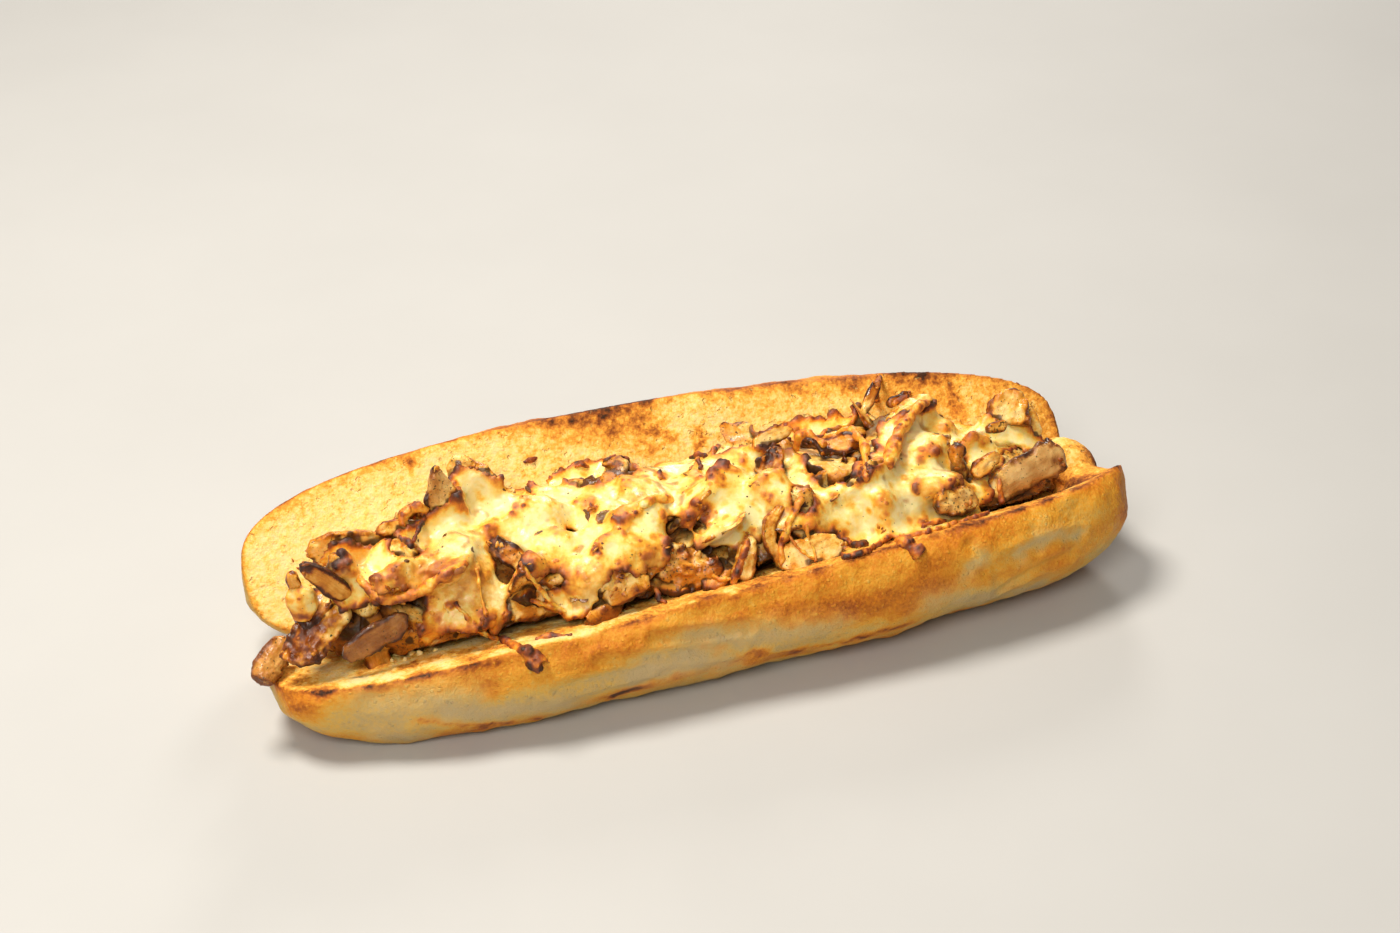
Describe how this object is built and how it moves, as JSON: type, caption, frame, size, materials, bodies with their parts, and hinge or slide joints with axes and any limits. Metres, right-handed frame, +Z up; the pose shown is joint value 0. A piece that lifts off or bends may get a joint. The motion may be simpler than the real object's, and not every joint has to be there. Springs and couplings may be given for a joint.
{
  "type": "steak sandwich",
  "caption": "Long soft roll split along one side and lying open, heaped with sliced grilled meat under browned melted cheese, for eating by hand",
  "frame": {"origin": "on the resting surface, under the middle of the sandwich's outer box", "axes": "+X along the roll towards the end where its halves stay joined, +Y towards the raised far half, -Y the side that opens, +Z up"},
  "size_m": [0.282, 0.1032, 0.0671],
  "materials": {
    "crust": "soft golden bread crust, paler towards the base, with toasted cream-coloured crumb on the cut faces",
    "meat": "grilled sliced meat, grey-brown with dark charred edges and a thin sheen of fat",
    "cheese": "melted cheese, pale cream-yellow, glossy, with orange-brown blisters"
  },
  "bodies": {
    "root": {"roll": "crust", "left_fold": "meat", "left_curl": "meat", "left_scrap": "meat", "flat_slice": "meat", "short_slice": "meat", "back_slice_left": "meat", "upright_slice": "meat", "leaning_slice": "meat", "browned_fold": "meat", "dark_chunk": "meat", "cheesy_chunk": "meat", "front_chunk": "meat", "peppered_chunk": "meat", "front_upright": "meat", "front_peel": "meat", "rim_slice": "meat", "folded_slice": "meat", "back_slice": "meat", "peak_slice": "meat", "charred_twist": "meat", "ribbed_curl": "meat", "standing_strip": "meat", "spiced_cube": "meat", "spiced_slice": "meat", "long_slice": "meat", "pointed_slice": "meat", "pale_slab": "meat", "meat_heap": "meat", "melted_cheese": "cheese"}
  },
  "joints": []
}
